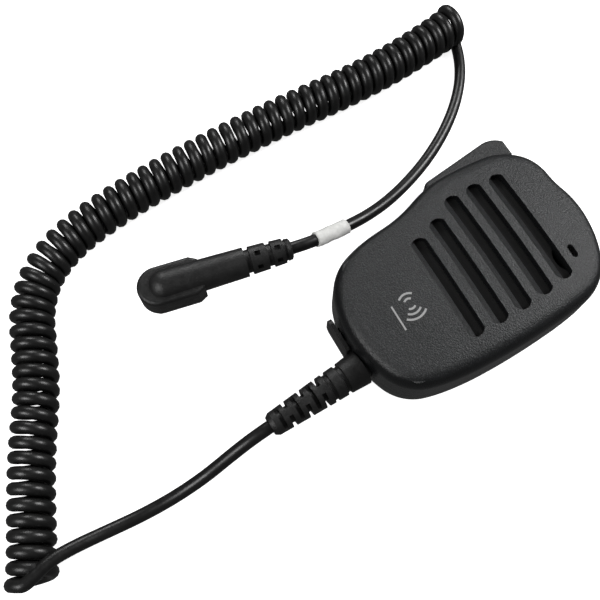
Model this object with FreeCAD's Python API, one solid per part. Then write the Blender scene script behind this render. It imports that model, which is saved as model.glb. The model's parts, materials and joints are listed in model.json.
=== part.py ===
import FreeCAD, Part
import math
import os

# A hand microphone with a loudspeaker, a push-to-talk bar, a back clip and a curly
# cord that ends in a right-angle two-pin plug.  It lies on its clip, grille up.
# Millimetres.  Origin: the clip's flat resting face, under the case.  +Z comes out
# of the grille, +Y runs along the case to the end away from the cord, +X is to the
# right when the grille is seen from the front.

V = FreeCAD.Vector
UP = V(0, 0, 1)
ALONG_X = V(1, 0, 0)
ALONG_Y = V(0, 1, 0)

# ---------------------------------------------------------------- case
BACK_Z = 8.5            # back face of the case above the clip's resting face
PARTING_Z = 20.0        # plane in which the two shells meet
PARTING_GAP = 0.24      # visible line between the shells
CROWN_Z = 34.5          # highest point of the crowned grille face
CROWN_R = 260.0         # the grille face is part of a large ball
CROWN_AT = (-2.0, -6.0)
CROWN_SPAN = 60.0       # half the side of the square over which the crown is drawn
WALL = 2.0
FACE_WALL = 2.4
FLOOR_Z = BACK_Z + WALL

# Case outline at the parting plane, clockwise from the top.
OUTLINE = [(-10, 41.2), (8, 40.6), (20.4, 32.9), (25.0, 16.4), (26.0, -4), (25.0, -22),
           (20.3, -34.8), (8, -40.8), (-6, -41.4), (-18.5, -36.0), (-24.3, -23),
           (-26.2, -9.5), (-30.3, 3), (-31.4, 18), (-29.3, 32), (-22, 39.2)]
FACE_EDGE_R = 5.2       # rounding between the grille face and the sides
BACK_EDGE_R = 8.0
INNER_EDGE_R = 2.6

# ---------------------------------------------------------------- grille
SLOT_ENDS = [(-23.0, 15.9), (-23.3, 17.2), (-23.0, 18.0), (-18.6, 18.2), (-15.8, 18.2)]
SLOT_TOP_Y = 23.35
SLOT_PITCH = 8.2
SLOT_HALF = 1.45        # half width of the opening itself
SLOT_LIP_LOW = 1.95     # width of the sloping lip on the side towards the cord
SLOT_LIP_HIGH = 0.35    # and on the side away from it
SLOT_LIP_DEPTH = 1.5
SLOT_END_W = 6.0        # twice the radius of a slot's rounded ends
SLOT_SWING = 7.0        # degrees of the crown that a slot's cutter spans each way
MIC_HOLE_AT = (9.5, 29.0)
MIC_HOLE = (4.4, 2.0)

# ---------------------------------------------------------------- screws and bosses
CASE_SCREWS = [(17.6, 27.0), (-18.5, 35.0), (-17.6, -30.6), (18.4, -30.6)]
SCREW_R = 1.3
SCREW_LENGTH = 12.0
SCREW_HEAD_R = 2.5
SCREW_HEAD_H = 1.6
BOSS_R = 3.0
SMALL_SCREW_R = 1.0
SMALL_HEAD_R = 1.9
SMALL_HEAD_H = 1.2

# ---------------------------------------------------------------- board
BOARD_Z = 14.6
BOARD_T = 1.2
BOARD_POSTS = [(-9.0, -22.0), (13.0, -20.0), (13.0, 33.0)]

# ---------------------------------------------------------------- loudspeaker
SPEAKER_AT = (-2.5, 6.2)
SPEAKER_R = 18.0
SPEAKER_FACE_Z = 29.2
RETAINER_REACH = 21.6   # from the speaker's axis to each retainer screw

# ---------------------------------------------------------------- push-to-talk bar
PTT_LOW_Z = 14.95
PTT_HIGH_Z = 27.05
PTT_Y = (4.35, 35.25)
PTT_PLAY = 0.35
PTT_PIVOT = (-27.0, 6.2)
PTT_PIN_R = 1.0
PTT_NOSE_Y = 28.0
PTT_NOSE_R = 1.5
PTT_NOSE_X = -27.2
PLUNGER_R = 1.6
SWITCH_FACE_X = -23.8

# ---------------------------------------------------------------- earphone jack
JACK_AT = (-4.3, 19.4)  # x and z of the bore's axis
JACK_R = 1.8
JACK_FACE_Y = -40.6
JACK_LENGTH = 12.0
COVER_HINGE = (0.9, -42.9)

# ---------------------------------------------------------------- clip
CLIP_Y = 10.0           # swivel axis, and the clip's pin
CLIP_PIN_Z = 4.2
CLIP_PIN_R = 1.1
CLIP_DISC_R = 10.5
CLIP_DISC_Z = (6.6, 8.3)
CLIP_PLATE_T = 1.7
CLIP_JAW_Y = -24.0
CLIP_THUMB_Y = 20.5
SPIGOT_R = 4.0
RUNNING = 0.05          # radial play of a turning fit

# ---------------------------------------------------------------- cord
CORD_D = 4.0
COIL_D = 14.4
CORD_Z = CORD_D / 2
COIL_Z = COIL_D / 2
RELIEF_AT = (6.6, -38.0, PARTING_Z)
RELIEF_TURN = 184.0     # degrees from +Y to the way the cord leaves the case
RELIEF_LENGTH = 35.4
# Where the cord's centre line goes: from the case to the coil, the coil's own
# centre line, and from the plug to the coil's other end.
MIC_TAIL = [(8.76, -68.8, 20.0), (9.36, -77.4, 20.0), (10.1, -87.0, 15.9), (10.8, -96.5, 9.8),
            (11.1, -107.5, 6.1), (10.8, -118.5, 5.0), (10.2, -129.0, 6.7), (10.0, -138.0, 10.2),
            (10.4, -146.0, 12.4), (11.2, -153.2, 12.4)]
COIL = [(13.5, -153.4, COIL_Z), (-4.5, -146.4, COIL_Z), (-22.0, -138.8, COIL_Z),
        (-38.0, -130.2, COIL_Z), (-51.5, -125.4, COIL_Z), (-63.0, -121.6, COIL_Z),
        (-73.6, -113.8, COIL_Z), (-80.6, -101.4, COIL_Z), (-84.2, -84.5, COIL_Z),
        (-86.4, -63.0, COIL_Z), (-87.4, -39.0, COIL_Z), (-87.5, -14.0, COIL_Z),
        (-86.5, 11.0, COIL_Z), (-87.4, 35.5, COIL_Z), (-90.8, 58.5, COIL_Z)]
PLUG_TAIL = [(-37.85, -45.0, 19.4), (-36.02, -36.0, 19.4), (-36.25, -28.0, 17.2), (-37.2, -14.5, 13.0),
             (-39.8, -3.0, 9.2), (-43.9, 8.5, 6.0), (-49.3, 20.5, 3.6), (-56.0, 32.0, 2.3),
             (-63.6, 41.9, CORD_Z), (-72.0, 49.8, CORD_Z), (-81.0, 55.2, CORD_Z), (-90.4, 56.4, CORD_Z)]
ARC_SHARE = 0.45        # part of the shorter run that an arc takes up

# ---------------------------------------------------------------- plug
PLUG_TIP = (-46.8, -89.0)
PLUG_TURN = -11.5       # degrees from +Y to the way the cord leaves the plug
PLUG_W = 13.0
PLUG_BLOCK_L = 20.3
PLUG_Z = 14.0           # underside of the block, which stands on its long pin
PLUG_BLOCK_H = 8.0
PLUG_AXIS_Z = 19.4
PIN_PITCH = 11.8
PIN_FIRST = 4.3
LARGE_PIN = (1.75, 14.0)    # radius and length under the block
SMALL_PIN = (1.25, 12.0)
PIN_ROOT = 4.0          # part of a pin moulded into the block
ROOT_SHARE = 0.7        # root and core radii as shares of the pin's radius
CORE_SHARE = 0.45
SLEEVE_END = 4.6        # from a pin's point up to its outer contact
TIP_END = 3.8           # and up to its insulating ring
LABEL_T = 0.25


# ================================================================ helpers
def box(low, high):
    size = V(*high) - V(*low)
    return Part.makeBox(size.x, size.y, size.z, V(*low))


def rod(radius, start, end):
    way = V(*end) - V(*start)
    return Part.makeCylinder(radius, way.Length, V(*start), way)


def turned(profile, centre):
    """Solid of revolution about Z at centre, from (radius, height) corners."""
    corners = [V(r, 0, z) for r, z in profile]
    face = Part.Face(Part.makePolygon(corners + corners[:1]))
    solid = face.revolve(V(), UP, 360)
    solid.translate(V(centre[0], centre[1], 0))
    return solid


def turned_along_y(profile, height):
    """Solid of revolution about a line along Y at a height, from (y, radius) corners."""
    corners = [V(r, y, 0) for y, r in profile]
    face = Part.Face(Part.makePolygon(corners + corners[:1]))
    solid = face.revolve(V(), ALONG_Y, 360)
    solid.translate(V(0, 0, height))
    return solid


def stadium(length, width, depth, centre):
    """Upright pill-shaped prism, long side along X, standing on centre."""
    x, y, z = centre
    half = length / 2 - width / 2
    shape = box((x - half, y - width / 2, z), (x + half, y + width / 2, z + depth))
    for end in (x - half, x + half):
        shape = shape.fuse(Part.makeCylinder(width / 2, depth, V(end, y, z)))
    return shape.removeSplitter()


def joined(first, others):
    return first.multiFuse(others).removeSplitter()


def path_of(points):
    """Straight runs joined by tangent arcs through a list of corners."""
    corners = [V(*p) for p in points]
    edges = []
    radii = []
    last = corners[0]
    for before, corner, after in zip(corners, corners[1:], corners[2:]):
        back = before - corner
        on = after - corner
        reach = ARC_SHARE * min(back.Length, on.Length)
        turn = math.pi - back.getAngle(on)
        radius = reach / math.tan(turn / 2)
        radii.append(radius)
        back.normalize()
        on.normalize()
        middle_way = back + on
        middle_way.normalize()
        start = corner + back * reach
        end = corner + on * reach
        middle = corner + middle_way * (radius / math.cos(turn / 2) - radius)
        edges.append(Part.LineSegment(last, start).toShape())
        edges.append(Part.Arc(start, middle, end).toShape())
        last = end
    edges.append(Part.LineSegment(last, corners[-1]).toShape())
    return Part.Wire(edges), radii


def tube(name, points, diameter):
    """Round solid along a route; prints its length, radii and volume check."""
    path, radii = path_of(points)
    start = V(*points[0])
    ring = Part.Wire(Part.makeCircle(diameter / 2, start, V(*points[1]) - start))
    solid = Part.Wire(path).makePipeShell([ring], True, False)
    expected = path.Length * math.pi * diameter ** 2 / 4
    print(name, "length", round(path.Length, 1), "volume ratio", round(solid.Volume / expected, 4))
    print(name, "radii", [round(r, 1) for r in radii])
    return solid


# ================================================================ case shells
def arc_from(start, way, end):
    """Arc that leaves start along way and reaches end."""
    chord = end - start
    side = V(-chord.y, chord.x, 0)
    swing = math.atan2(chord.x * way.y - chord.y * way.x, chord.dot(way))
    middle = (start + end) * 0.5 + side * (0.5 * math.tan(swing / 2))
    return Part.Arc(start, middle, end).toShape()


def outline_wire(inset, z):
    """Case outline of tangent arcs at a height, moved inwards by an inset."""
    points = [V(x, y, z) for x, y in OUTLINE]
    guide = Part.BSplineCurve()
    guide.interpolate(points, PeriodicFlag=True)
    ways = [guide.tangent(guide.parameter(point))[0] for point in points]
    edges = []
    for i, start in enumerate(points):
        end, on = points[i - len(points) + 1], ways[i - len(points) + 1]
        way = ways[i]
        chord = end - start
        spread = 2 * (1 - way.dot(on))
        lean = chord.dot(way + on)
        reach = (math.sqrt(lean ** 2 + spread * chord.dot(chord)) - lean) / spread
        meet = (start + end + (way - on) * reach) * 0.5
        edges.append(arc_from(start, way, meet))
        edges.append(arc_from(end, on * -1, meet))
    wire = Part.Wire(Part.__sortEdges__(edges))
    return wire.makeOffset2D(-inset) if inset else wire


def outline_prism(inset, low, high):
    return Part.Face(outline_wire(inset, low)).extrude(V(0, 0, high - low))


def crown_height(x, y):
    flat = (x - CROWN_AT[0]) ** 2 + (y - CROWN_AT[1]) ** 2
    return CROWN_Z - CROWN_R + math.sqrt(CROWN_R ** 2 - flat)


def crown_block(drop):
    """Everything under the crowned face, or under a face lower by a drop."""
    steps = [CROWN_SPAN * i / 4 for i in range(-4, 5)]
    rows = [[V(x, y, crown_height(x, y) - drop) for y in steps] for x in steps]
    surface = Part.BSplineSurface()
    surface.interpolate(rows)
    return surface.toShape().extrude(V(0, 0, -CROWN_Z))


def front_solid(inset, drop, edge_r):
    """Front half of the case under its crowned face, with a rounded edge."""
    block = outline_prism(inset, PARTING_Z + PARTING_GAP / 2, CROWN_Z + 5).common(crown_block(drop))
    face = max(block.Faces, key=lambda f: f.CenterOfMass.z)
    return block.makeFillet(edge_r, face.OuterWire.Edges)


def rear_solid(inset, low, edge_r):
    """Rear half of the case above its flat back, with a rounded edge."""
    block = outline_prism(inset, low, PARTING_Z - PARTING_GAP / 2)
    face = min(block.Faces, key=lambda f: f.CenterOfMass.z)
    return block.makeFillet(edge_r, face.OuterWire.Edges)


def ptt_opening():
    low = (-40.0, PTT_Y[0] - PTT_PLAY, PTT_LOW_Z - PTT_PLAY)
    high = (-24.0, PTT_Y[1] + 2 * PTT_PLAY, PTT_HIGH_Z + PTT_PLAY)
    return box(low, high)


def relief_hole():
    return in_relief_frame(turned_along_y([(-4, 0), (-4, 3.95), (6, 3.95), (6, 0)], 0))


def jack_hole():
    x, z = JACK_AT
    return rod(3.0, (x, JACK_FACE_Y - 4, z), (x, JACK_FACE_Y + 4, z))


def grille_slot(index):
    """Cutter for one slot: a narrow gap with lips that slope down into it."""
    left, right = SLOT_ENDS[index]
    y = SLOT_TOP_Y - index * SLOT_PITCH
    over = SLOT_LIP_DEPTH + 3.0
    ball_z = CROWN_Z - CROWN_R
    local_r = math.sqrt(CROWN_R ** 2 - (y - CROWN_AT[1]) ** 2)
    bottom = local_r - SLOT_LIP_DEPTH
    high = SLOT_HALF + SLOT_LIP_HIGH * over / SLOT_LIP_DEPTH
    low = SLOT_HALF + SLOT_LIP_LOW * over / SLOT_LIP_DEPTH
    profile = [(-SLOT_HALF, bottom - 6), (SLOT_HALF, bottom - 6), (SLOT_HALF, bottom),
               (high, bottom + over), (-low, bottom + over), (-SLOT_HALF, bottom)]
    corners = [V(CROWN_AT[0], y + dy, ball_z + r) for dy, r in profile]
    face = Part.Face(Part.makePolygon(corners + corners[:1]))
    axis = V(CROWN_AT[0], y, ball_z)
    face.rotate(axis, ALONG_Y, -SLOT_SWING)
    groove = face.revolve(axis, ALONG_Y, 2 * SLOT_SWING)
    shift = (SLOT_LIP_HIGH - SLOT_LIP_LOW) / 2
    return groove.common(stadium(right - left, SLOT_END_W, 20, ((left + right) / 2, y + shift, 22)))


def mic_hole():
    length, width = MIC_HOLE
    x, y = MIC_HOLE_AT
    return stadium(length, width, 10, (x, y, crown_height(x, y) - 6))


def front_shell():
    outer = front_solid(0.0, 0.0, FACE_EDGE_R)
    shell = outer.cut(front_solid(WALL, FACE_WALL, INNER_EDGE_R))
    bosses = [rod(BOSS_R, (x, y, PARTING_Z), (x, y, 33)) for x, y in CASE_SCREWS]
    bosses += [rod(2.2, (x, y, SPEAKER_FACE_Z - 1.6), (x, y, 34)) for x, y in retainer_screw_places()]
    bosses.append(rod(2.2, (*PTT_PIVOT, PTT_HIGH_Z + 0.3), (*PTT_PIVOT, 33)))
    pocket = turned([(4.2, 26), (5.4, 26), (5.4, 33), (4.2, 33)], MIC_HOLE_AT)
    bosses.append(pocket)
    inside = outline_prism(1.1, PARTING_Z, CROWN_Z + 5).common(crown_block(1.0))
    shell = joined(shell, [boss.common(inside) for boss in bosses])
    cuts = [rod(SCREW_R + 0.01, (x, y, PARTING_Z), (x, y, PARTING_Z + 7.5)) for x, y in CASE_SCREWS]
    cuts += [rod(SMALL_SCREW_R + 0.01, (x, y, 20), (x, y, 31)) for x, y in retainer_screw_places()]
    cuts.append(rod(PTT_PIN_R + 0.01, (*PTT_PIVOT, 20), (*PTT_PIVOT, 29.8)))
    cuts += [grille_slot(index) for index in range(len(SLOT_ENDS))]
    cuts += [mic_hole(), ptt_opening(), relief_hole(), jack_hole()]
    return shell.cut(cuts)


def rear_shell():
    shell = rear_solid(0.0, BACK_Z, BACK_EDGE_R).cut(rear_solid(WALL, FLOOR_Z, BACK_EDGE_R - WALL))
    bosses = [rod(BOSS_R, (x, y, BACK_Z + 1), (x, y, PARTING_Z)) for x, y in CASE_SCREWS]
    bosses += [rod(2.4, (x, y, FLOOR_Z - 1), (x, y, BOARD_Z)) for x, y in BOARD_POSTS]
    bosses.append(rod(2.2, (*PTT_PIVOT, FLOOR_Z - 1), (*PTT_PIVOT, PTT_LOW_Z - 0.3)))
    inside = rear_solid(1.0, BACK_Z + 1.0, BACK_EDGE_R - 1.0)
    shell = joined(shell, [boss.common(inside) for boss in bosses])
    cuts = []
    for x, y in CASE_SCREWS:
        cuts.append(rod(SCREW_R + 0.15, (x, y, BACK_Z - 1), (x, y, PARTING_Z + 2)))
        cuts.append(rod(SCREW_HEAD_R + 0.3, (x, y, BACK_Z - 1), (x, y, BACK_Z + 4.5)))
    cuts += [rod(SMALL_SCREW_R + 0.01, (x, y, FLOOR_Z - 0.5), (x, y, BOARD_Z + 1)) for x, y in BOARD_POSTS]
    cuts.append(rod(PTT_PIN_R + 0.01, (*PTT_PIVOT, 12.2), (*PTT_PIVOT, 20)))
    cuts.append(rod(SPIGOT_R + RUNNING, (0, CLIP_Y, BACK_Z - 1), (0, CLIP_Y, FLOOR_Z + 1)))
    cuts += [ptt_opening(), relief_hole(), jack_hole()]
    return shell.cut(cuts)


def case_screws():
    """Four self-tapping screws, from the back of the case into the front shell."""
    head_z = BACK_Z + 4.5 - SCREW_HEAD_H
    screws = []
    for x, y in CASE_SCREWS:
        head = rod(SCREW_HEAD_R, (x, y, head_z), (x, y, head_z + SCREW_HEAD_H))
        screw = head.fuse(rod(SCREW_R, (x, y, head_z + 0.5), (x, y, head_z + SCREW_HEAD_H + SCREW_LENGTH)))
        cross = box((x - 1.3, y - 0.3, head_z - 1), (x + 1.3, y + 0.3, head_z + 0.8))
        cross = cross.fuse(box((x - 0.3, y - 1.3, head_z - 1), (x + 0.3, y + 1.3, head_z + 0.8)))
        screws.append(screw.cut(cross))
    return Part.makeCompound(screws)


# ================================================================ inside the case
def retainer_screw_places():
    x, y = SPEAKER_AT
    return [(x, y + RETAINER_REACH), (x, y - RETAINER_REACH)]


def grille_cloth():
    """Thin felt behind the slots, following the crowned face."""
    sheet = crown_block(FACE_WALL + 0.02).cut(crown_block(FACE_WALL + 0.42))
    patch = box((-24.4, -12.6, 25), (18.6, 25.2, 40))
    corners = [edge for edge in patch.Edges if abs(edge.Vertexes[0].Z - edge.Vertexes[-1].Z) > 1]
    patch = patch.makeFillet(6.0, corners).cut(rod(5.7, (*MIC_HOLE_AT, 24), (*MIC_HOLE_AT, 41)))
    return sheet.common(patch).common(outline_prism(6.0, 25, 40))


def speaker_frame():
    top = SPEAKER_FACE_Z
    profile = [(SPEAKER_R, top), (SPEAKER_R, top - 1.6), (15.2, top - 1.6), (8.6, top - 5.0),
               (7.0, top - 5.0), (7.0, top - 4.4), (14.4, top - 0.6), (16.6, top - 0.6), (16.6, top)]
    return turned(profile, SPEAKER_AT)


def speaker_cone():
    top = SPEAKER_FACE_Z
    profile = [(16.5, top - 0.1), (16.5, top - 0.5), (14.6, top - 0.5), (13.6, top - 0.9),
               (6.6, top - 3.8), (4.4, top - 3.9), (0, top - 2.6), (0, top - 2.3),
               (4.6, top - 3.5), (6.4, top - 3.4), (13.4, top - 0.5), (14.6, top - 0.1)]
    return turned(profile, SPEAKER_AT)


def speaker_magnet():
    top = SPEAKER_FACE_Z
    profile = [(0, top - 5.05), (8.4, top - 5.05), (8.4, top - 8.2), (7.9, top - 8.7), (0, top - 8.7)]
    return turned(profile, SPEAKER_AT)


def speaker_retainer():
    """Ring plate with two ears that clamps the speaker's rim to the front shell."""
    x, y = SPEAKER_AT
    top = SPEAKER_FACE_Z - 1.65
    ring = turned([(18.6, top), (18.6, top - 0.9), (15.6, top - 0.9), (15.6, top)], SPEAKER_AT)
    ears = [rod(2.8, (a, b, top - 0.9), (a, b, top)) for a, b in retainer_screw_places()]
    necks = [box((x - 2.8, y + 16, top - 0.9), (x + 2.8, y + RETAINER_REACH, top)),
             box((x - 2.8, y - RETAINER_REACH, top - 0.9), (x + 2.8, y - 16, top))]
    holes = [rod(SMALL_SCREW_R + 0.1, (a, b, top - 2), (a, b, top + 1)) for a, b in retainer_screw_places()]
    return joined(ring, ears + necks).cut(holes)


def small_screw(x, y, seat, length):
    """Pan-head screw whose head sits on top of seat and points down."""
    screw = rod(SMALL_HEAD_R, (x, y, seat), (x, y, seat + SMALL_HEAD_H))
    screw = screw.fuse(rod(SMALL_SCREW_R, (x, y, seat - length), (x, y, seat + 0.3)))
    return screw.cut(box((x - 1.2, y - 0.2, seat + 0.6), (x + 1.2, y + 0.2, seat + 3)))


def retainer_screws():
    seat = SPEAKER_FACE_Z - 1.65 - 0.9
    screws = []
    for x, y in retainer_screw_places():
        screw = small_screw(x, y, 0, 3.6)
        screw.rotate(V(x, y, 0), ALONG_X, 180)
        screw.translate(V(0, 0, seat))
        screws.append(screw)
    return Part.makeCompound(screws)


def mic_boot():
    """Rubber cup that holds the microphone capsule behind its opening."""
    top = crown_height(*MIC_HOLE_AT) - FACE_WALL - 0.6
    profile = [(1.6, top), (4.1, top), (4.1, top - 4.6), (3.05, top - 4.6), (3.05, top - 0.9), (1.6, top - 0.9)]
    return turned(profile, MIC_HOLE_AT)


def mic_element():
    top = crown_height(*MIC_HOLE_AT) - FACE_WALL - 0.6 - 0.95
    profile = [(0, top - 0.2), (0.6, top - 0.2), (0.6, top), (3.0, top), (3.0, top - 2.7), (0, top - 2.7)]
    return turned(profile, MIC_HOLE_AT)


def circuit_board():
    board = outline_prism(3.6, BOARD_Z, BOARD_Z + BOARD_T)
    low, high = BOARD_Z - 1, BOARD_Z + BOARD_T + 1
    cuts = [rod(BOSS_R + 0.5, (x, y, low), (x, y, high)) for x, y in CASE_SCREWS]
    cuts += [rod(SMALL_SCREW_R + 0.1, (x, y, low), (x, y, high)) for x, y in BOARD_POSTS]
    cuts.append(box((-40, -1.0, low), (-23.0, 45, high)))
    cuts.append(box((-1.0, -50, low), (14.5, -33.5, high)))
    return board.cut(cuts)


def board_screws():
    seat = BOARD_Z + BOARD_T
    return Part.makeCompound([small_screw(x, y, seat, 4.4) for x, y in BOARD_POSTS])


def audio_capacitor():
    z = BOARD_Z + BOARD_T + 2.0
    return rod(2.0, (16.5, -8, z), (16.5, 0, z))


def wire_header():
    """Small header on the board where the cord's wires end."""
    z = BOARD_Z + BOARD_T
    header = box((3.0, -31, z), (13.0, -27.5, z + 4))
    slots = [box((4.0 + 2.4 * i, -32, z + 1), (5.4 + 2.4 * i, -28.5, z + 3)) for i in range(4)]
    return header.cut(slots)


# ================================================================ push-to-talk
def ptt_button():
    """Bar through the left wall; it turns on a pin near its cord end."""
    height = PTT_HIGH_Z - PTT_LOW_Z
    low_y, high_y = PTT_Y
    inner_low, outer_low = V(-28.4, low_y, PTT_LOW_Z), V(-31.6, low_y, PTT_LOW_Z)
    foot, shoulder = V(-33.3, 6.4, PTT_LOW_Z), V(-36.2, 28.4, PTT_LOW_Z)
    outer_high, inner_high = V(-33.6, high_y, PTT_LOW_Z), V(-28.4, high_y, PTT_LOW_Z)
    slope = shoulder - foot
    edges = [Part.LineSegment(inner_low, outer_low).toShape(),
             arc_from(foot, slope * -1, outer_low),
             Part.LineSegment(foot, shoulder).toShape(),
             arc_from(shoulder, slope, outer_high),
             Part.LineSegment(outer_high, inner_high).toShape(),
             Part.LineSegment(inner_high, inner_low).toShape()]
    bar = Part.Face(Part.Wire(edges)).extrude(V(0, 0, height))
    outer = [edge for edge in bar.Edges if edge.BoundBox.ZLength < 0.01 and edge.BoundBox.XMin < -32.5]
    bar = bar.makeFillet(1.3, outer)
    ear = rod(2.0, (*PTT_PIVOT, PTT_LOW_Z + 0.3), (*PTT_PIVOT, PTT_HIGH_Z - 0.3))
    webs = [box((-28.7, 9, z), (-27.1, 24, z + 1.8)) for z in (PTT_LOW_Z + 0.2, PTT_HIGH_Z - 2)]
    stops = [box((-27.8, 9, z), (-27.1, 24, z + 3.2)) for z in (PTT_LOW_Z - 1.2, PTT_HIGH_Z - 2)]
    nose_low, nose_high = PARTING_Z - 2.5, PARTING_Z + 2.5
    nose = rod(PTT_NOSE_R, (PTT_NOSE_X, PTT_NOSE_Y, nose_low), (PTT_NOSE_X, PTT_NOSE_Y, nose_high))
    stem = box((-28.6, PTT_NOSE_Y - PTT_NOSE_R, nose_low), (PTT_NOSE_X, PTT_NOSE_Y + PTT_NOSE_R, nose_high))
    root = box((-28.6, 4.6, PTT_LOW_Z + 0.3), (-27.0, 8.0, PTT_HIGH_Z - 0.3))
    bar = joined(bar, [ear, nose, stem, root] + webs + stops)
    return bar.cut(rod(PTT_PIN_R + RUNNING, (*PTT_PIVOT, 0), (*PTT_PIVOT, 40)))


def ptt_pin():
    return rod(PTT_PIN_R, (*PTT_PIVOT, 12.3), (*PTT_PIVOT, 29.7))


def ptt_switch():
    body = box((SWITCH_FACE_X, PTT_NOSE_Y - 3, BOARD_Z + BOARD_T), (SWITCH_FACE_X + 4, PTT_NOSE_Y + 3, 23))
    x = SWITCH_FACE_X
    bore = rod(PLUNGER_R + RUNNING, (x - 1, PTT_NOSE_Y, PARTING_Z), (x + 2.9, PTT_NOSE_Y, PARTING_Z))
    return body.cut(bore)


def ptt_plunger():
    start = PTT_NOSE_X + PTT_NOSE_R + 0.1
    return rod(PLUNGER_R, (start, PTT_NOSE_Y, PARTING_Z), (SWITCH_FACE_X + 1.5, PTT_NOSE_Y, PARTING_Z))


# ================================================================ earphone jack
def jack_socket():
    x, z = JACK_AT
    base_z = BOARD_Z + BOARD_T
    body = box((x - 3.2, JACK_FACE_Y + 3.2, base_z), (x + 3.2, JACK_FACE_Y + 3.2 + JACK_LENGTH, z + 3.2))
    nose = rod(2.9, (x, JACK_FACE_Y, z), (x, JACK_FACE_Y + 4, z))
    body = joined(body, [nose])
    end_y = JACK_FACE_Y + JACK_LENGTH
    drill_end = Part.makeCone(JACK_R, 0.2, 0.9, V(x, end_y, z), ALONG_Y)
    return body.cut([rod(JACK_R, (x, JACK_FACE_Y - 1, z), (x, end_y, z)), drill_end])


def jack_cover():
    """Rubber flap over the jack, hinged at its end beside the strain relief."""
    hinge_x, hinge_y = COVER_HINGE
    x, z = JACK_AT
    inner = hinge_y + 0.6
    outer = hinge_y - 0.6
    plate = box((-9.9, outer, z - 4.6), (hinge_x, inner, z + 4.6))
    corners = [edge for edge in plate.Edges if edge.BoundBox.YLength > 1 and edge.BoundBox.XMax < 0]
    plate = plate.makeFillet(2.0, corners)
    stub = turned_along_y([(0, 0), (0, 1.5), (1.4, 1.5), (2.05, 0.9), (2.05, 0)], z)
    stub.translate(V(x, inner - 0.5, 0))
    return joined(plate, [rod(0.6, (hinge_x, hinge_y, z - 4.6), (hinge_x, hinge_y, z + 4.6)), stub])


def jack_strap():
    """Fixed end of the cover's rubber strap, held in the wall."""
    hinge_x, hinge_y = COVER_HINGE
    z = JACK_AT[1]
    return box((hinge_x - 1.2, hinge_y + 0.75, z - 3.4), (hinge_x + 0.4, hinge_y + 4.2, z + 3.4))


# ================================================================ strain relief
def in_relief_frame(shape):
    """From a frame with +Y along the cord's way out, to its place on the case."""
    shape.rotate(V(), UP, RELIEF_TURN)
    shape.translate(V(*RELIEF_AT))
    return shape


def strain_relief():
    """Collar, two rings and a tapered sleeve with bend slots, one rubber moulding."""
    tip = RELIEF_LENGTH
    profile = [(-1.4, 0), (-1.4, 5.3), (0.3, 5.3), (0.3, 3.85), (3.6, 3.85), (3.6, 5.5), (9.6, 5.0),
               (9.9, 4.2), (10.8, 4.2), (11.1, 4.9), (14.0, 4.8), (14.3, 4.1), (15.2, 4.1),
               (15.5, 4.75), (tip - 1.2, 3.7), (tip, 2.9), (tip, 0)]
    body = turned_along_y(profile, 0)
    cuts = [rod(CORD_D / 2, (0, tip - 5, 0), (0, tip + 1, 0))]
    for i in range(6):
        y = 17.2 + 2.8 * i
        cuts.append(slot_ring(y, i % 2 == 0))
    return in_relief_frame(body.cut(cuts))


def slot_ring(y, upright):
    """Two opposite windows round the sleeve; the next ring's are turned by 90 degrees."""
    ring = turned_along_y([(y, 2.7), (y, 6), (y + 1.3, 6), (y + 1.3, 2.7)], 0)
    spine = box((-1.3, y - 1, -7), (1.3, y + 3, 7)) if upright else box((-7, y - 1, -1.3), (7, y + 3, 1.3))
    return ring.cut(spine)


# ================================================================ clip
def clip_swivel():
    """Disc that turns on the back of the case, with two ears for the clip's pin."""
    low, high = CLIP_DISC_Z
    disc = rod(CLIP_DISC_R, (0, CLIP_Y, low), (0, CLIP_Y, high))
    spigot = rod(SPIGOT_R, (0, CLIP_Y, low), (0, CLIP_Y, FLOOR_Z + 0.03))
    ears = []
    for side in (-1, 1):
        inner, outer = side * 5.3, side * 7.1
        start, end = min(inner, outer), max(inner, outer)
        ears.append(rod(2.1, (start, CLIP_Y, CLIP_PIN_Z), (end, CLIP_Y, CLIP_PIN_Z)))
        ears.append(box((start, CLIP_Y - 2.1, CLIP_PIN_Z), (end, CLIP_Y + 2.1, low + 0.3)))
    body = joined(disc, [spigot] + ears)
    holes = [rod(CLIP_PIN_R + 0.01, (-9, CLIP_Y, CLIP_PIN_Z), (9, CLIP_Y, CLIP_PIN_Z)),
             rod(1.26, (0, CLIP_Y, low + 0.4), (0, CLIP_Y, 12))]
    return body.cut(holes)


def clip_washer():
    low = FLOOR_Z + 0.06
    return turned([(1.6, low), (6.0, low), (6.0, low + 0.8), (1.6, low + 0.8)], (0, CLIP_Y))


def clip_screw():
    seat = FLOOR_Z + 0.87
    screw = rod(2.7, (0, CLIP_Y, seat), (0, CLIP_Y, seat + 1.8))
    screw = screw.fuse(rod(1.25, (0, CLIP_Y, seat - 3.8), (0, CLIP_Y, seat + 0.3)))
    return screw.cut(box((-1.6, CLIP_Y - 0.3, seat + 1.0), (1.6, CLIP_Y + 0.3, seat + 3)))


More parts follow.
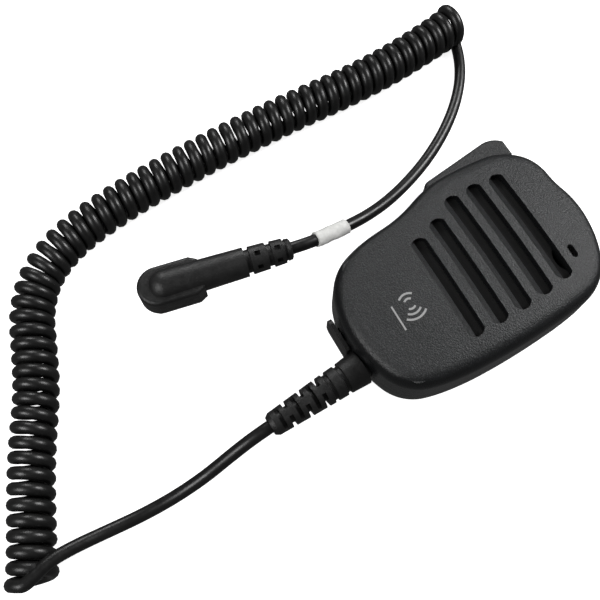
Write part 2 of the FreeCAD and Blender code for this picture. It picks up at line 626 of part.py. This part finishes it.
def clip_arm():
    """Lever on the pin: a jaw towards the cord end, a thumb pad at the other end."""
    jaw = CLIP_JAW_Y
    plate = Part.Face(Part.makePolygon([V(-7.5, CLIP_THUMB_Y, 0), V(7.5, CLIP_THUMB_Y, 0), V(8, CLIP_Y, 0),
                                        V(6.5, jaw, 0), V(-6.5, jaw, 0), V(-8, CLIP_Y, 0),
                                        V(-7.5, CLIP_THUMB_Y, 0)])).extrude(V(0, 0, CLIP_PLATE_T))
    corners = [edge for edge in plate.Edges if edge.BoundBox.ZLength > 1 and abs(edge.BoundBox.YMin - CLIP_Y) > 5]
    plate = plate.makeFillet(2.5, corners)
    jaw_block = box((-6.5, jaw, 0), (6.5, jaw + 3.4, BACK_Z - 0.3))
    corners = [edge for edge in jaw_block.Edges if edge.BoundBox.ZLength > 1 and edge.BoundBox.YMin < jaw + 1]
    jaw_block = jaw_block.makeFillet(2.5, corners)
    teeth = [box((-8, jaw + 0.8 + 1.3 * i, BACK_Z - 1.0), (8, jaw + 1.3 + 1.3 * i, BACK_Z)) for i in range(2)]
    lugs = []
    for side in (-1, 1):
        inner, outer = side * 3.4, side * 5.1
        start, end = min(inner, outer), max(inner, outer)
        lugs.append(rod(2.0, (start, CLIP_Y, CLIP_PIN_Z), (end, CLIP_Y, CLIP_PIN_Z)))
        lugs.append(box((start, CLIP_Y - 2.0, CLIP_PLATE_T - 0.3), (end, CLIP_Y + 2.0, CLIP_PIN_Z)))
    ridges = [rod(0.35, (-5, CLIP_Y + 5 + 1.6 * i, 0.35), (5, CLIP_Y + 5 + 1.6 * i, 0.35)) for i in range(3)]
    arm = joined(plate, [jaw_block] + lugs)
    return arm.cut(teeth + ridges + [rod(CLIP_PIN_R + RUNNING, (-9, CLIP_Y, CLIP_PIN_Z), (9, CLIP_Y, CLIP_PIN_Z))])


def clip_pin():
    return rod(CLIP_PIN_R, (-7.4, CLIP_Y, CLIP_PIN_Z), (7.4, CLIP_Y, CLIP_PIN_Z))


def clip_spring():
    """Torsion spring round the pin, between the arm's two lugs."""
    wire_r = 0.32
    mean_r = 1.7
    helix = Part.makeHelix(0.85, 5.1, mean_r)
    ring = Part.Wire(Part.makeCircle(wire_r, V(mean_r, 0, 0), ALONG_Y))
    coil = Part.Wire(helix).makePipeShell([ring], True, True)
    coil.rotate(V(), ALONG_Y, 90)
    coil.translate(V(-2.55, CLIP_Y, CLIP_PIN_Z))
    return coil


# ================================================================ plug
def in_plug_frame(shape):
    """From a frame with the plug's nose at the origin and +Y along it, to its place."""
    shape.rotate(V(), UP, PLUG_TURN)
    shape.translate(V(PLUG_TIP[0], PLUG_TIP[1], 0))
    return shape


def pin_places():
    return [(PIN_FIRST, LARGE_PIN), (PIN_FIRST + PIN_PITCH, SMALL_PIN)]


def plug_body():
    """Flat rounded block with a round barrel that runs out of its top to the cord."""
    half = PLUG_W / 2
    top = PLUG_Z + PLUG_BLOCK_H
    back = PLUG_BLOCK_L - 2.5
    corners = [V(half, half, PLUG_Z), V(half, back, PLUG_Z), V(half - 1.4, PLUG_BLOCK_L, PLUG_Z),
               V(1.4 - half, PLUG_BLOCK_L, PLUG_Z), V(-half, back, PLUG_Z), V(-half, half, PLUG_Z)]
    edges = [Part.LineSegment(p, q).toShape() for p, q in zip(corners, corners[1:])]
    edges.append(Part.Arc(corners[-1], V(0, 0, PLUG_Z), corners[0]).toShape())
    block = Part.Face(Part.Wire(edges)).extrude(V(0, 0, PLUG_BLOCK_H))
    rims = [edge for edge in block.Edges if edge.BoundBox.ZMin > top - 1 and edge.BoundBox.YMin < back + 1]
    block = block.makeFillet(1.3, rims)
    barrel = turned_along_y([(8.6, 0), (8.6, 5.3), (34.5, 4.75), (34.5, 0)], PLUG_AXIS_Z)
    dome = Part.makeSphere(5.3, V(0, 8.6, PLUG_AXIS_Z))
    lower = box((-9, 0, 0), (9, 14, PLUG_Z))
    return in_plug_frame(joined(block, [barrel, dome]).cut([lower] + pin_holes()))


def pin_holes():
    return [Part.makeCylinder(size[0] * ROOT_SHARE, PIN_ROOT, V(0, y, PLUG_Z)) for y, size in pin_places()]


def plug_relief():
    """Ringed sleeve between the plug's barrel and the cord."""
    profile = [(34.5, 0), (34.5, 3.7), (35.9, 3.7), (36.1, 4.5), (41.4, 4.35), (41.6, 3.5), (42.9, 3.5),
               (43.1, 4.2), (46.9, 4.0), (47.0, 3.3), (47.7, 3.3), (47.8, 3.6), (49.0, 3.4), (49.4, 2.8), (49.4, 0)]
    body = turned_along_y(profile, PLUG_AXIS_Z)
    cuts = [rod(CORD_D / 2, (0, 44.4, PLUG_AXIS_Z), (0, 50, PLUG_AXIS_Z))]
    for y in (37.6, 44.0):
        for angle in range(0, 360, 60):
            window = box((-0.8, y, 3.2), (0.8, y + 1.8, 6))
            window.rotate(V(), ALONG_Y, angle)
            window.translate(V(0, 0, PLUG_AXIS_Z))
            cuts.append(window)
    return in_plug_frame(body.cut(cuts))


def pin_sleeve(y, radius, length):
    """Root and outer contact of a plug pin."""
    end = PLUG_Z - length
    root = radius * ROOT_SHARE
    core = radius * CORE_SHARE
    profile = [(0, PLUG_Z + PIN_ROOT), (root, PLUG_Z + PIN_ROOT), (root, PLUG_Z), (radius, PLUG_Z),
               (radius, end + SLEEVE_END), (core, end + SLEEVE_END), (core, end + 6), (0, end + 6)]
    return in_plug_frame(turned(profile, (0, y)))


def pin_insulator(y, radius, length):
    end = PLUG_Z - length
    core = radius * CORE_SHARE
    profile = [(core, end + SLEEVE_END), (radius, end + SLEEVE_END), (radius, end + TIP_END), (core, end + TIP_END)]
    return in_plug_frame(turned(profile, (0, y)))


def pin_tip(y, radius, length):
    """Centre contact with its pear-shaped end."""
    end = PLUG_Z - length
    core = radius * CORE_SHARE
    profile = [(0, end + 6), (core, end + 6), (core, end + TIP_END), (radius * 0.98, end + TIP_END),
               (radius * 0.72, end + 2.9), (radius * 0.98, end + 1.9), (radius * 0.8, end + 0.9),
               (radius * 0.35, end), (0, end)]
    return in_plug_frame(turned(profile, (0, y)))


# ================================================================ cord
def cord_label():
    """Plain paper wrap round the cord beside the plug."""
    edges = path_of(PLUG_TAIL)[0].Edges
    way = edges[3].tangentAt(edges[3].FirstParameter)
    start = edges[3].valueAt(edges[3].FirstParameter)
    rings = [Part.Wire(Part.makeCircle(radius, start, way)) for radius in (CORD_D / 2 + LABEL_T, CORD_D / 2 + 0.02)]
    outer, inner = [Part.Wire(edges[3:5]).makePipeShell([ring], True, False) for ring in rings]
    return outer.cut(inner)


# ================================================================ write
def parts():
    large, small = pin_places()
    return {
        "front_shell": front_shell(),
        "rear_shell": rear_shell(),
        "case_screws": case_screws(),
        "grille_cloth": grille_cloth(),
        "speaker_frame": speaker_frame(),
        "speaker_cone": speaker_cone(),
        "speaker_magnet": speaker_magnet(),
        "speaker_retainer": speaker_retainer(),
        "retainer_screws": retainer_screws(),
        "mic_boot": mic_boot(),
        "mic_element": mic_element(),
        "circuit_board": circuit_board(),
        "board_screws": board_screws(),
        "audio_capacitor": audio_capacitor(),
        "wire_header": wire_header(),
        "ptt_button": ptt_button(),
        "ptt_pin": ptt_pin(),
        "ptt_switch": ptt_switch(),
        "ptt_plunger": ptt_plunger(),
        "jack_socket": jack_socket(),
        "jack_cover": jack_cover(),
        "jack_strap": jack_strap(),
        "strain_relief": strain_relief(),
        "clip_swivel": clip_swivel(),
        "clip_washer": clip_washer(),
        "clip_screw": clip_screw(),
        "clip_arm": clip_arm(),
        "clip_pin": clip_pin(),
        "clip_spring": clip_spring(),
        "plug_body": plug_body(),
        "plug_relief": plug_relief(),
        "plug_large_sleeve": pin_sleeve(large[0], *large[1]),
        "plug_large_insulator": pin_insulator(large[0], *large[1]),
        "plug_large_tip": pin_tip(large[0], *large[1]),
        "plug_small_sleeve": pin_sleeve(small[0], *small[1]),
        "plug_small_insulator": pin_insulator(small[0], *small[1]),
        "plug_small_tip": pin_tip(small[0], *small[1]),
        "cord_tail_mic": tube("cord_tail_mic", MIC_TAIL, CORD_D),
        "cord_coil": tube("cord_coil", COIL, COIL_D),
        "cord_tail_plug": tube("cord_tail_plug", PLUG_TAIL, CORD_D),
        "cord_label": cord_label(),
    }


def main():
    os.makedirs("parts", exist_ok=True)
    for name, shape in parts().items():
        shape.exportStep("parts/" + name + ".step")
        kind = "valid" if shape.isValid() else "NOT VALID"
        print(name, len(shape.Solids), kind, round(shape.Volume, 1))


main()
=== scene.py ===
"""Looks of a hand microphone with a curly cord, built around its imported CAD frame.  Metres."""
import bpy
import bmesh
import json
import math
from mathutils import Matrix, Vector


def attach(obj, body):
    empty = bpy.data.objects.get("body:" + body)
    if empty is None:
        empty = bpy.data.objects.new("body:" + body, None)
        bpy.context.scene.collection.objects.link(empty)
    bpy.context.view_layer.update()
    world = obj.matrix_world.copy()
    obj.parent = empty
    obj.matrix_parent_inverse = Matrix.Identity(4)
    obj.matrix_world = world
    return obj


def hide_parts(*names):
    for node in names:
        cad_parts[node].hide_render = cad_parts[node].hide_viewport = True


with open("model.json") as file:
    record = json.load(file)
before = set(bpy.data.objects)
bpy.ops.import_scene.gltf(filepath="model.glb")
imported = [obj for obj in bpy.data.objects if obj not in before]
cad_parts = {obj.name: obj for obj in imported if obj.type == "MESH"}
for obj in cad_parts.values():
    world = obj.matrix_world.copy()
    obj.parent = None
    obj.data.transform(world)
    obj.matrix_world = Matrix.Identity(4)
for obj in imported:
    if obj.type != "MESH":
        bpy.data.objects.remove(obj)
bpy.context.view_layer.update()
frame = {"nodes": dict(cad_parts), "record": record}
nodes = frame["nodes"]

# ---------------------------------------------------------------- camera
CAMERA_AT = Vector((0.0520, -0.0878, 0.2488))
CAMERA_AIM = Vector((-0.0268, -0.0432, 0.0))
CAMERA_RIGHT = Vector((0.4924, 0.8704, 0.0))
CAMERA_LENS = 47.88


def make_camera():
    data = bpy.data.cameras.new("camera")
    data.sensor_width = 36
    data.lens = CAMERA_LENS
    data.clip_start = 0.01
    camera = bpy.data.objects.new("camera", data)
    back = (CAMERA_AT - CAMERA_AIM).normalized()
    right = (CAMERA_RIGHT - back * CAMERA_RIGHT.dot(back)).normalized()
    up = back.cross(right)
    turn = Matrix((right, up, back)).transposed()
    camera.matrix_world = Matrix.Translation(CAMERA_AT) @ turn.to_4x4()
    bpy.context.collection.objects.link(camera)
    bpy.context.scene.camera = camera


make_camera()


# ---------------------------------------------------------------- materials
class Nodes:
    """A material's node tree, with short ways to add and join nodes."""

    def __init__(self, name):
        self.material = bpy.data.materials.new(name)
        self.material.use_nodes = True
        self.tree = self.material.node_tree
        self.shader = self.tree.nodes["Principled BSDF"]
        self.place = self.tree.nodes.new("ShaderNodeTexCoord")

    def set(self, **values):
        for name, value in values.items():
            self.shader.inputs[name.replace("_", " ")].default_value = value

    def link(self, out, into):
        self.tree.links.new(out, into)

    def noise(self, scale, detail=2.0, roughness=0.5, stretch=None):
        node = self.tree.nodes.new("ShaderNodeTexNoise")
        node.inputs["Scale"].default_value = scale
        node.inputs["Detail"].default_value = detail
        node.inputs["Roughness"].default_value = roughness
        self.link(self.where(stretch), node.inputs["Vector"])
        return node.outputs["Fac"]

    def cells(self, scale):
        node = self.tree.nodes.new("ShaderNodeTexVoronoi")
        node.inputs["Scale"].default_value = scale
        self.link(self.place.outputs["Object"], node.inputs["Vector"])
        return node.outputs["Distance"]

    def where(self, stretch):
        if stretch is None:
            return self.place.outputs["Object"]
        node = self.tree.nodes.new("ShaderNodeMapping")
        node.inputs["Scale"].default_value = stretch
        self.link(self.place.outputs["Object"], node.inputs["Vector"])
        return node.outputs["Vector"]

    def ramp(self, value, low, high, out_low=0.0, out_high=1.0):
        node = self.tree.nodes.new("ShaderNodeMapRange")
        limits = {"From Min": low, "From Max": high, "To Min": out_low, "To Max": out_high}
        for name, number in limits.items():
            node.inputs[name].default_value = number
        self.link(value, node.inputs["Value"])
        return node.outputs["Result"]

    def maths(self, kind, first, second):
        node = self.tree.nodes.new("ShaderNodeMath")
        node.operation = kind
        for socket, value in zip(node.inputs, (first, second)):
            if isinstance(value, (int, float)):
                socket.default_value = value
            else:
                self.link(value, socket)
        return node.outputs["Value"]

    def colour(self, value, dark, light):
        node = self.tree.nodes.new("ShaderNodeMix")
        node.data_type = "RGBA"
        node.inputs["A"].default_value = (*dark, 1)
        node.inputs["B"].default_value = (*light, 1)
        self.link(value, node.inputs["Factor"])
        self.link(node.outputs["Result"], self.shader.inputs["Base Color"])

    def rough(self, value, low, high):
        self.link(self.ramp(value, 0.3, 0.7, low, high), self.shader.inputs["Roughness"])

    def bump(self, height, distance, strength=1.0):
        node = self.tree.nodes.new("ShaderNodeBump")
        node.inputs["Distance"].default_value = distance
        if isinstance(strength, (int, float)):
            node.inputs["Strength"].default_value = strength
        else:
            self.link(strength, node.inputs["Strength"])
        self.link(height, node.inputs["Height"])
        self.link(node.outputs["Normal"], self.shader.inputs["Normal"])


def spark_plastic(name, lit_face_colour, shaded_side_colour, face_rough, side_rough):
    """Moulded plastic: spark texture on what faces up or down, smoother on the sides; the colour is painted
    lighter where it faces up or down as painted sheen, with painted glints, and darker on the sides as
    painted shade.
    """
    m = Nodes(name)
    split = m.tree.nodes.new("ShaderNodeSeparateXYZ")
    m.link(m.place.outputs["Normal"], split.inputs["Vector"])
    # Surfaces facing up or down: this mask carries the real spark texture's roughness and bump, and also a
    # painted sheen that lightens these faces and leaves the sides darker as painted shade.
    texture_and_sheen_mask = m.ramp(m.maths("ABSOLUTE", split.outputs["Z"], 0.0), 0.62, 0.93)
    grain = m.noise(1900, 3.0, 0.6)
    # Bright specks painted into the colour: painted glints of the spark texture.
    painted_glint = m.ramp(m.noise(2900, 1.0, 0.5), 0.57, 0.70)
    # Colour factor: painted sheen on the up- and down-facing surfaces plus the painted glints.
    painted_sheen_and_glint = m.maths("MULTIPLY", texture_and_sheen_mask, m.maths("ADD", 0.25, m.maths("MULTIPLY", painted_glint, 1.6)))
    wear = m.ramp(m.noise(130, 4.0, 0.6), 0.35, 0.75, -0.06, 0.06)
    m.colour(m.maths("ADD", painted_sheen_and_glint, wear), shaded_side_colour, lit_face_colour)
    base_rough = m.ramp(texture_and_sheen_mask, 0, 1, side_rough, face_rough)
    uneven_rough = m.ramp(grain, 0.3, 0.7, -0.07, 0.07)
    m.link(m.maths("ADD", base_rough, uneven_rough), m.shader.inputs["Roughness"])
    m.bump(grain, 0.00034, m.ramp(texture_and_sheen_mask, 0, 1, 0.12, 0.9))
    m.set(Specular_IOR_Level=0.5, IOR=1.5)
    return m.material


def rubber(name, dark, light, low, high, scale, depth):
    m = Nodes(name)
    grain = m.noise(scale, 3.0, 0.6)
    m.colour(m.ramp(m.noise(160, 4.0, 0.6), 0.3, 0.7), dark, light)
    m.rough(m.noise(420, 3.0, 0.6), low, high)
    m.bump(grain, depth)
    m.set(IOR=1.5)
    return m.material


def metal(name, dark, light, low, high, stretch):
    m = Nodes(name)
    lines = m.noise(900, 3.0, 0.6, stretch)
    m.colour(m.ramp(m.noise(300, 3.0), 0.3, 0.7), dark, light)
    m.rough(lines, low, high)
    m.bump(lines, 0.00002)
    m.set(Metallic=1.0)
    return m.material


def matte(name, dark, light, low, high, scale, depth):
    m = Nodes(name)
    grain = m.noise(scale, 5.0, 0.65)
    m.colour(m.ramp(grain, 0.3, 0.7), dark, light)
    m.rough(grain, low, high)
    m.bump(grain, depth)
    return m.material


def solder_mask(name):
    """Green board with copper traces showing through in fine raised lines."""
    m = Nodes(name)
    traces = m.ramp(m.cells(420), 0.1, 0.16)
    m.colour(traces, (0.02, 0.16, 0.05), (0.008, 0.07, 0.03))
    m.rough(m.noise(700, 3.0), 0.25, 0.4)
    m.bump(traces, 0.00004)
    return m.material


def grey(level, tint=0.0):
    return (level, level + tint * 0.5, level + tint)


finishes = {
    # For both plastics the first grey is the face colour with painted sheen, the second the sides' colour
    # darkened as painted shade.
    "case_plastic": spark_plastic("case_plastic", grey(0.036, 0.004), grey(0.005, 0.001), 0.42, 0.3),
    "button_plastic": spark_plastic("button_plastic", grey(0.030, 0.003), grey(0.009, 0.001), 0.46, 0.38),
    "cord_rubber": rubber("cord_rubber", grey(0.004), grey(0.009), 0.3, 0.42, 1500, 0.00004),
    "moulded_rubber": rubber("moulded_rubber", grey(0.005), grey(0.012), 0.36, 0.5, 2200, 0.00012),
    "felt": matte("felt", grey(0.003), grey(0.012), 0.85, 1.0, 2600, 0.0002),
    "steel": metal("steel", grey(0.42), grey(0.62), 0.22, 0.4, (1, 1, 0.1)),
    "spring_steel": metal("spring_steel", grey(0.3), grey(0.45), 0.25, 0.42, (0.2, 1, 1)),
    "plated_contact": metal("plated_contact", (0.66, 0.63, 0.58), (0.78, 0.75, 0.7), 0.1, 0.22, (1, 1, 0.2)),
    "board": solder_mask("board"),
    "inner_plastic": matte("inner_plastic", grey(0.018), grey(0.03), 0.42, 0.6, 1800, 0.00004),
    "cone_paper": matte("cone_paper", (0.03, 0.027, 0.024), (0.07, 0.064, 0.055), 0.7, 0.9, 1600, 0.0001),
    "magnet": matte("magnet", grey(0.05), grey(0.1), 0.5, 0.75, 1200, 0.00006),
    "label_paper": matte("label_paper", (0.62, 0.62, 0.6), (0.8, 0.8, 0.78), 0.55, 0.8, 700, 0.00012),
    "mark_ink": matte("mark_ink", grey(0.32), grey(0.42), 0.45, 0.6, 2400, 0.00003),
    "can_metal": metal("can_metal", grey(0.55), grey(0.72), 0.2, 0.35, (1, 1, 0.15)),
}
for row in frame["record"]["subparts"]:
    data = nodes[row["node"]].data
    data.materials.clear()
    data.materials.append(finishes[row["material_slot"]])


# ---------------------------------------------------------------- cord
UP = Vector((0, 0, 1))
CORD_D = 0.004
HELIX_R = 0.0052
HELIX_TURNS = 60.5
TURN_POINTS = 14
# Control points sit a little outside the wound radius, because the spline cuts inside them.
POINT_SPREAD = 1.015
# The end turns stand a little wider: by how much, over how many turns it fades.
LOOSE_START = (0.0007, 1.2)
LOOSE_END = (0.0009, 0.8)
UNEVEN_WINDING = 0.00014
# The cord's centre line from the case to the coil, the coil's own centre line, and
# the cord from the plug to the coil's other end.
MIC_TAIL = [(0.00876, -0.0688, 0.0200), (0.00936, -0.0774, 0.0200), (0.0101, -0.0870, 0.0159),
            (0.0108, -0.0965, 0.0098), (0.0111, -0.1075, 0.0061), (0.0108, -0.1185, 0.0050),
            (0.0102, -0.1290, 0.0067), (0.0100, -0.1380, 0.0102), (0.0104, -0.1460, 0.0124)]
COIL = [(0.0135, -0.1534), (-0.0045, -0.1464), (-0.0220, -0.1388), (-0.0380, -0.1302),
        (-0.0515, -0.1254), (-0.0630, -0.1216), (-0.0736, -0.1138), (-0.0806, -0.1014),
        (-0.0842, -0.0845), (-0.0864, -0.0630), (-0.0874, -0.0390), (-0.0875, -0.0140),
        (-0.0865, 0.0110), (-0.0874, 0.0355), (-0.0908, 0.0585)]
PLUG_TAIL = [(-0.03785, -0.0450, 0.0194), (-0.03602, -0.0360, 0.0194), (-0.03625, -0.0280, 0.0172),
             (-0.0372, -0.0145, 0.0130), (-0.0398, -0.0030, 0.0092), (-0.0439, 0.0085, 0.0060),
             (-0.0493, 0.0205, 0.0036), (-0.0560, 0.0320, 0.0023), (-0.0636, 0.0419, 0.0020),
             (-0.0720, 0.0498, 0.0020), (-0.0810, 0.0552, 0.0020)]


def route_curve(name, points, bevel=0.0):
    """A curve of one smooth spline whose control points are the given ones."""
    data = bpy.data.curves.new(name, "CURVE")
    data.dimensions = "3D"
    data.twist_mode = "MINIMUM"
    data.bevel_depth = bevel
    data.bevel_resolution = 4
    data.use_fill_caps = bevel > 0
    spline = data.splines.new("NURBS")
    spline.points.add(len(points) - 1)
    for point, where in zip(spline.points, points):
        point.co = (*where, 1.0)
    spline.order_u = 3
    spline.use_endpoint_u = True
    spline.resolution_u = 5 if bevel else 24
    obj = bpy.data.objects.new(name, data)
    bpy.context.collection.objects.link(obj)
    return obj


def line_of(points):
    """Closely spaced points along the smooth spline through a route."""
    guide = route_curve("guide", points)
    mesh = bpy.data.meshes.new_from_object(guide)
    line = [v.co.copy() for v in mesh.vertices]
    bpy.data.meshes.remove(mesh)
    bpy.data.objects.remove(guide)
    return line


def distances(line):
    far = [0.0]
    for a, b in zip(line, line[1:]):
        far.append(far[-1] + (b - a).length)
    return far


def along(line, far, s):
    """Point and direction at a distance along a line."""
    s = min(max(s, 0.0), far[-1])
    low, high = 0, len(far) - 2
    while low <= high:
        i = (low + high) // 2
        if far[i + 1] < s:
            low = i + 1
        elif far[i] > s:
            high = i - 1
        else:
            break
    way = line[i + 1] - line[i]
    return line[i] + way * ((s - far[i]) / max(way.length, 1e-9)), way.normalized()


def helix_points():
    """The curly part, wound to the left along the coil's centre line."""
    line = line_of([(x, y, 0.0) for x, y in COIL])
    far = distances(line)
    count = round(HELIX_TURNS * TURN_POINTS)
    points = []
    for i in range(count + 1):
        share = i / count
        turn = share * HELIX_TURNS
        s = share * far[-1]
        at, way = along(line, far, s)
        loose = LOOSE_START[0] * math.exp(-turn / LOOSE_START[1])
        loose += LOOSE_END[0] * math.exp(-(HELIX_TURNS - turn) / LOOSE_END[1])
        uneven = UNEVEN_WINDING * math.sin(turn * 0.9) * math.sin(turn * 0.23 + 1.0)
        radius = (HELIX_R + loose) * POINT_SPREAD
        side = way.cross(UP)
        angle = -2 * math.pi * turn
        centre = at + way * uneven + Vector((0, 0, radius + CORD_D / 2))
        points.append(centre + UP * radius * math.cos(angle) + side * radius * math.sin(angle))
    return points


cord_points = [Vector(p) for p in MIC_TAIL] + helix_points() + [Vector(p) for p in reversed(PLUG_TAIL)]
cord = route_curve("curly_cord", cord_points, CORD_D / 2)
cord.data.materials.append(finishes["cord_rubber"])
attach(cord, "case")
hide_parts("cord_tail_mic", "cord_coil", "cord_tail_plug")


def mesh_object(name, bm, finish, smooth=True):
    bmesh.ops.recalc_face_normals(bm, faces=bm.faces)
    data = bpy.data.meshes.new(name)
    bm.to_mesh(data)
    bm.free()
    for face in data.polygons:
        face.use_smooth = smooth
    data.materials.append(finishes[finish])
    obj = bpy.data.objects.new(name, data)
    bpy.context.collection.objects.link(obj)
    return obj


# ---------------------------------------------------------------- paper wrap
WRAP_Y = (-0.0325, -0.0205)
WRAP_R = 0.00245
WRAP_SIDES = 40
WRAP_STEPS = 14
WRAP_MARGIN = 0.002
WRAP_OVERLAP = 0.00016
WRAP_INNER_GAP = 0.00002


def ring_across(bm, at, way, radii):
    """A ring of vertices across a line, with a radius for each of its sides."""
    side = way.cross(UP).normalized()
    up = side.cross(way)
    ring = []
    for j, r in enumerate(radii):
        angle = 2 * math.pi * j / len(radii)
        ring.append(bm.verts.new(at + side * r * math.cos(angle) + up * r * math.sin(angle)))
    return ring


def wrap_radius(i, j):
    """The strip's outer radius: light creases, and a step where its end overlaps."""
    angle = 2 * math.pi * j / WRAP_SIDES
    crease = 0.00007 * math.sin(angle * 3 + i * 0.9) + 0.00004 * math.sin(angle * 7 - i * 1.7)
    return WRAP_R + crease + WRAP_OVERLAP * (1 - j / WRAP_SIDES)


def paper_wrap():
    """A paper strip wrapped round the cord, with its end stuck down over itself."""
    from_y, to_y = WRAP_Y[0] - WRAP_MARGIN, WRAP_Y[1] + WRAP_MARGIN
    line = [p for p in line_of(PLUG_TAIL) if from_y < p.y < to_y]
    far = distances(line)
    reach = far[-1] - 2 * WRAP_MARGIN
    stations = [along(line, far, WRAP_MARGIN + reach * i / WRAP_STEPS) for i in range(WRAP_STEPS + 1)]
    bm = bmesh.new()
    rings = []
    for i, (at, way) in enumerate(stations):
        rings.append(ring_across(bm, at, way, [wrap_radius(i, j) for j in range(WRAP_SIDES)]))
    inner_radii = [CORD_D / 2 + WRAP_INNER_GAP] * WRAP_SIDES
    first, last = (ring_across(bm, at, way, inner_radii) for at, way in (stations[0], stations[-1]))
    strips = list(zip(rings, rings[1:])) + [(rings[-1], last), (first, rings[0]), (last, first)]
    for one, two in strips:
        for j in range(WRAP_SIDES):
            k = (j + 1) % WRAP_SIDES
            bm.faces.new((one[j], one[k], two[k], two[j]))
    return mesh_object("paper_wrap", bm, "label_paper")


wrap = paper_wrap()
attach(wrap, "case")
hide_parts("cord_label")


# ---------------------------------------------------------------- printed mark
CROWN_Z = 0.0345
CROWN_R = 0.260
CROWN_AT = (-0.002, -0.006)
MARK_LIFT = 0.00004
MARK_SINK = 0.00012
WAVE_CENTRE = (0.0004, -0.0225)
WAVE_RADII = (0.0016, 0.0032, 0.0048)
WAVE_BOTH_SIDES = 0.0032
WAVE_HALF_ANGLE = 42
WAVE_STEPS = 18


def crown(x, y):
    flat = (x - CROWN_AT[0]) ** 2 + (y - CROWN_AT[1]) ** 2
    return CROWN_Z - CROWN_R + math.sqrt(CROWN_R ** 2 - flat)


def stroke(bm, points, width):
    """A printed line that follows the crowned face, as a thin closed strip."""
    rings = []
    for i, (x, y) in enumerate(points):
        ahead = points[min(i + 1, len(points) - 1)]
        behind = points[max(i - 1, 0)]
        way = Vector((ahead[0] - behind[0], ahead[1] - behind[1]))
        way.normalize()
        dx, dy = -way.y * width / 2, way.x * width / 2
        corners = [(x + dx, y + dy, MARK_LIFT), (x - dx, y - dy, MARK_LIFT),
                   (x - dx, y - dy, -MARK_SINK), (x + dx, y + dy, -MARK_SINK)]
        rings.append([bm.verts.new((px, py, crown(px, py) + dz)) for px, py, dz in corners])
    for one, two in zip(rings, rings[1:]):
        for j in range(4):
            bm.faces.new((one[j], one[(j + 1) % 4], two[(j + 1) % 4], two[j]))
    bm.faces.new(rings[0])
    bm.faces.new(rings[-1][::-1])


def printed_mark():
    """A plain sound-wave sign with a line under it."""
    bm = bmesh.new()
    for radius in WAVE_RADII:
        for side in (0.0, math.pi):
            if side and radius > WAVE_BOTH_SIDES:
                continue
            turns = [2 * WAVE_HALF_ANGLE * i / WAVE_STEPS - WAVE_HALF_ANGLE for i in range(WAVE_STEPS + 1)]
            angles = [side + math.radians(turn) for turn in turns]
            arc = [(WAVE_CENTRE[0] + radius * math.cos(a), WAVE_CENTRE[1] + radius * math.sin(a))
                   for a in angles]
            stroke(bm, arc, 0.0006)
    stroke(bm, [(-0.0015 + 0.008 * i / 12, -0.0275) for i in range(13)], 0.0005)
    return mesh_object("printed_mark", bm, "mark_ink", smooth=False)


mark = printed_mark()
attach(mark, "case")


# ---------------------------------------------------------------- stage
def floor_material():
    m = Nodes("floor")
    m.colour(m.ramp(m.noise(9, 3.0), 0.3, 0.7), (0.93, 0.93, 0.93), (0.96, 0.96, 0.96))
    m.set(Roughness=0.9, Specular_IOR_Level=0.2, Emission_Color=(1, 1, 1, 1), Emission_Strength=0.85)
    return m.material


def make_floor():
    bm = bmesh.new()
    bmesh.ops.create_grid(bm, x_segments=24, y_segments=24, size=3.0)
    data = bpy.data.meshes.new("floor")
    bm.to_mesh(data)
    bm.free()
    data.materials.append(floor_material())
    floor = bpy.data.objects.new("floor", data)
    floor.location = (0, 0, -0.0002)
    floor.visible_glossy = False
    floor.visible_diffuse = False
    bpy.context.collection.objects.link(floor)


def area_light(name, at, aim, size, power):
    data = bpy.data.lights.new(name, "AREA")
    data.shape = "RECTANGLE"
    data.size, data.size_y = size
    data.energy = power
    light = bpy.data.objects.new(name, data)
    light.location = at
    light.rotation_euler = (Vector(aim) - Vector(at)).to_track_quat("-Z", "Y").to_euler()
    bpy.context.collection.objects.link(light)


def make_light():
    world = bpy.data.worlds.new("world")
    bpy.context.scene.world = world
    world.use_nodes = True
    background = world.node_tree.nodes["Background"]
    background.inputs["Color"].default_value = (1, 1, 1, 1)
    background.inputs["Strength"].default_value = 0.11
    aim = (-0.03, -0.03, 0.0)
    area_light("key", (0.02, 0.72, 0.60), aim, (0.32, 0.32), 7.0)
    area_light("top", (-0.66, 0.10, 0.42), aim, (0.25, 0.25), 1.8)
    area_light("fill", (0.02, -0.62, 0.50), aim, (0.35, 0.3), 3.0)
    bpy.context.scene.view_settings.view_transform = "Standard"


make_floor()
make_light()
